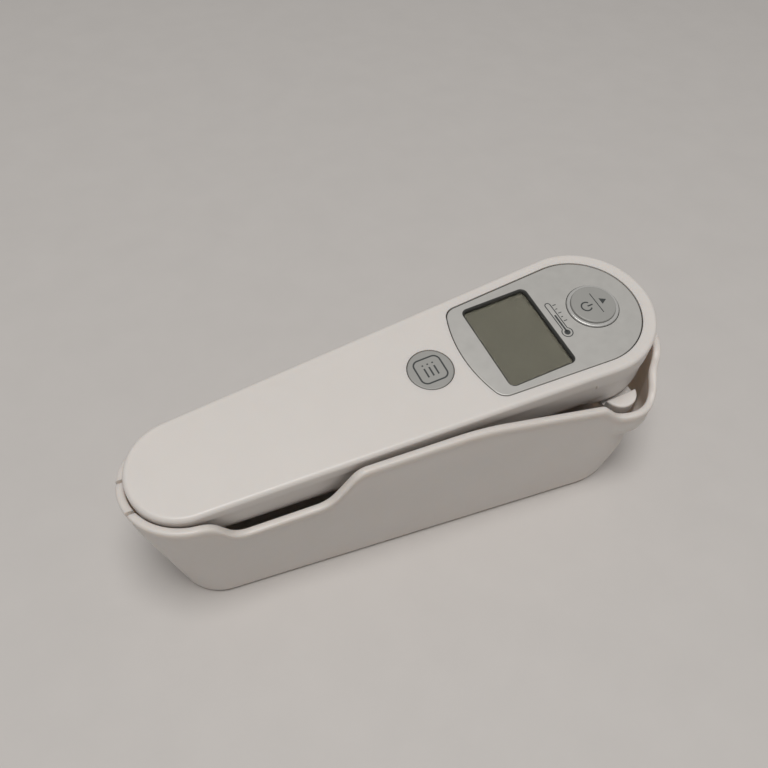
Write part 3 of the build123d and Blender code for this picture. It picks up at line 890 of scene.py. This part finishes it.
def board_material():
    """Green solder mask, lighter over its tracks."""
    material, nodes, links, shader = new_material("board_green")
    cells = nodes.new("ShaderNodeTexVoronoi")
    cells.feature = "DISTANCE_TO_EDGE"
    cells.inputs["Scale"].default_value = 1.0
    links.new(object_space(nodes, links, TRACK_SCALE), cells.inputs["Vector"])
    tracks = spread(nodes, links, cells.outputs["Distance"], 1, 0, from_low=0.02, from_high=0.06)
    tone = mix_colours(nodes, links, tracks, BOARD_GREEN, TRACK_GREEN)
    links.new(tone, shader.inputs["Base Color"])
    shader.inputs["Roughness"].default_value = 0.35
    add_bump(nodes, links, shader, tracks, strength=1.0, distance=0.05)
    return material


def stripes_material(name, first, second, width, roughness):
    """Parallel stripes, each about width mm wide, as in a display connector or a ribbon cable."""
    material, nodes, links, shader = new_material(name)
    place = nodes.new("ShaderNodeTexCoord")
    wave = nodes.new("ShaderNodeTexWave")
    wave.inputs["Scale"].default_value = STRIPE_SCALE / width
    wave.inputs["Distortion"].default_value = 0.3
    links.new(place.outputs["Object"], wave.inputs["Vector"])
    tone = mix_colours(nodes, links, wave.outputs["Fac"], first, second)
    links.new(tone, shader.inputs["Base Color"])
    shader.inputs["Roughness"].default_value = roughness
    return material


def make_materials():
    """Every finish by its short name."""
    return {
        "case": surface("case_white", CASE_WHITE, 0.42, grain=7.0, bump=0.12, vary=0.012,
                        subsurface=0.5),
        "shell": surface("shell_white", SHELL_WHITE, 0.40, grain=8.0, bump=0.10, vary=0.010,
                         subsurface=0.2),
        "panel": surface("panel_silver", PANEL_SILVER, 0.4, grain=5.0, bump=0.10, vary=0.02,
                         metallic=0.35),
        "start": surface("button_silver", BUTTON_SILVER, 0.36, grain=5.0, bump=0.06, vary=0.02,
                         metallic=0.35),
        "grey": surface("button_grey", BUTTON_GREY, 0.48, bump=0.1, vary=0.02, metallic=0.1),
        "mark": surface("mark_ink", MARK_INK, 0.55, grain=9.0, bump=0.1, depth=0.01, vary=0.08),
        "dark": surface("bevel_and_painted_shade", BEVEL_AND_SHADE_DARK, 0.45, bump=0.15, vary=0.1),
        "black": surface("moulded_black", MOULDED_BLACK, 0.5, bump=0.2, depth=0.03, vary=0.1),
        "holder": surface("holder_white", HOLDER_WHITE, 0.5, bump=0.15, depth=0.03),
        "steel": surface("plated_steel", PLATED_STEEL, 0.3, bump=0.15, vary=0.05, metallic=1.0),
        "cell": surface("cell_steel", CELL_STEEL, 0.28, grain=3.0, bump=0.25, vary=0.04, metallic=1.0,
                        stretch=(6, 0.3, 6)),
        "spring": surface("spring_strip", SPRING_STRIP, 0.3, grain=4.0, bump=0.2, vary=0.05, metallic=1.0),
        "gold": surface("waveguide_gold", GOLD, 0.16, bump=0.08, depth=0.01, vary=0.04, metallic=1.0),
        "lens": surface("probe_lens", LENS_DARK, 0.12, bump=0.05, depth=0.01, vary=0.05, coat=0.6),
        "lcd": lcd_material(),
        "window": window_material(),
        "board": board_material(),
        "rubber": stripes_material("connector_rubber", RUBBER_PINK, RUBBER_BLACK, width=0.4, roughness=0.6),
        "ribbon": stripes_material("ribbon_amber", FILM_AMBER, FILM_BROWN, width=0.8, roughness=0.3),
    }


NODE_FINISH = {
    "front_shell": "shell", "back_shell": "shell", "battery_cover": "shell", "probe_nozzle": "shell",
    "ejector_ring": "shell", "casing_screws": "steel", "face_panel": "panel", "lcd_window": "window",
    "lcd_module": "lcd", "lcd_holder": "holder", "lcd_connectors": "rubber", "start_button": "start",
    "start_button_cap": "grey", "memory_button": "grey", "start_switch": "black", "memory_switch": "black",
    "circuit_board": "board", "processor_chip": "black", "board_components": "black", "buzzer": "black",
    "coin_cell": "cell", "battery_contact_negative": "spring", "battery_contact_positive": "spring",
    "waveguide": "gold", "probe_window": "lens", "infrared_sensor": "steel", "sensor_holder": "black",
    "sensor_ribbon": "ribbon", "ribbon_socket": "black", "ejector_clips": "steel",
    "ejector_springs": "steel", "storage_case": "case",
}
SPLIT_ANGLE = 32


def dress(materials):
    """Puts a finish on every CAD node, and shading that is sharp at its edges and smooth between them."""
    for node, finish in NODE_FINISH.items():
        piece = frame["nodes"][node]
        piece.data.materials.clear()
        piece.data.materials.append(materials[finish])
        split = piece.modifiers.new("split", "EDGE_SPLIT")
        split.split_angle = math.radians(SPLIT_ANGLE)
        split.use_edge_sharp = False
        weigh = piece.modifiers.new("weigh", "WEIGHTED_NORMAL")
        weigh.mode = "FACE_AREA"
        weigh.weight = 50
    frame["nodes"]["lcd_window"].visible_shadow = False


# ---- Floor, light and camera, m ----

FLOOR_SIZE = 4.0
FLOOR_STEPS = 8
SOFT_WHITE = (1.0, 0.985, 0.965)
ROOM_STRENGTH = 0.2
LIGHT_PLACE = (-0.16, -0.3, 1.42)
LIGHT_TARGET = (0, 0, 0.02)
LIGHT_SIZE = 0.8
LIGHT_POWER = 14.0

CAMERA_AZIMUTH = 28.11
CAMERA_ELEVATION = 46.71
CAMERA_ROLL = 2.58
CAMERA_DISTANCE = 0.204
CAMERA_TARGET = (-0.0047, 0.0041, 0.0401)
CAMERA_LENS = 38.9
CAMERA_SENSOR = 36.0


def make_floor():
    """A plain pale surface that the case stands on."""
    places = [FLOOR_SIZE * (step / FLOOR_STEPS - 0.5) for step in range(FLOOR_STEPS + 1)]
    points = [(x, y, 0) for y in places for x in places]
    faces = []
    for y in range(FLOOR_STEPS):
        for x in range(FLOOR_STEPS):
            a = y * (FLOOR_STEPS + 1) + x
            faces.append((a, a + 1, a + FLOOR_STEPS + 2, a + FLOOR_STEPS + 1))
    mesh = mesh_from(points, faces, "floor", Matrix.Identity(4))
    floor = bpy.data.objects.new("floor", mesh)
    bpy.context.scene.collection.objects.link(floor)
    finish = surface("floor_pale", FLOOR_PALE, 0.6, grain=1.5, bump=0.1, depth=0.05, vary=0.015)
    floor.data.materials.append(finish)


def make_light():
    """One broad light overhead in a softly lit room."""
    world = bpy.data.worlds.new("soft_room")
    world.use_nodes = True
    background = world.node_tree.nodes["Background"]
    background.inputs["Color"].default_value = (*SOFT_WHITE, 1)
    background.inputs["Strength"].default_value = ROOM_STRENGTH
    bpy.context.scene.world = world
    bpy.context.scene.view_settings.view_transform = "Standard"
    data = bpy.data.lights.new("overhead", "AREA")
    data.shape = "DISK"
    data.size = LIGHT_SIZE
    data.energy = LIGHT_POWER
    data.color = SOFT_WHITE
    light = bpy.data.objects.new("overhead", data)
    light.location = LIGHT_PLACE
    light.rotation_euler = (Vector(LIGHT_TARGET) - Vector(LIGHT_PLACE)).to_track_quat("-Z", "Y").to_euler()
    bpy.context.scene.collection.objects.link(light)


def make_camera():
    """A camera that looks down on the case from its near side, toward the head."""
    data = bpy.data.cameras.new("camera")
    data.sensor_width = CAMERA_SENSOR
    data.lens = CAMERA_LENS
    data.clip_start = 0.01
    camera = bpy.data.objects.new("camera", data)
    turn = math.radians(CAMERA_AZIMUTH)
    tilt = math.radians(CAMERA_ELEVATION)
    forward = Vector((math.sin(turn) * math.cos(tilt), math.cos(turn) * math.cos(tilt), -math.sin(tilt)))
    place = Vector(CAMERA_TARGET) - forward * CAMERA_DISTANCE
    upright = forward.to_track_quat("-Z", "Y").to_matrix().to_4x4()
    roll = Matrix.Rotation(math.radians(CAMERA_ROLL), 4, "Z")
    camera.matrix_world = Matrix.Translation(place) @ upright @ roll
    bpy.context.scene.collection.objects.link(camera)
    bpy.context.scene.camera = camera


make_camera()
make_floor()
make_light()
materials = make_materials()
dress(materials)
case = make_case()
case.data.materials.clear()
case.data.materials.append(materials["case"])
for mark in make_marks():
    mark.data.materials.append(materials["mark"])
# The liner's dark finish is partly the display's bevel and partly painted shade in its recess
make_lcd_surround().data.materials.append(materials["dark"])
# The seal's black stands for adhesive and also paints shade into the panel's groove
make_seal_and_groove_shade().data.materials.append(materials["black"])
make_springs().data.materials.append(materials["steel"])
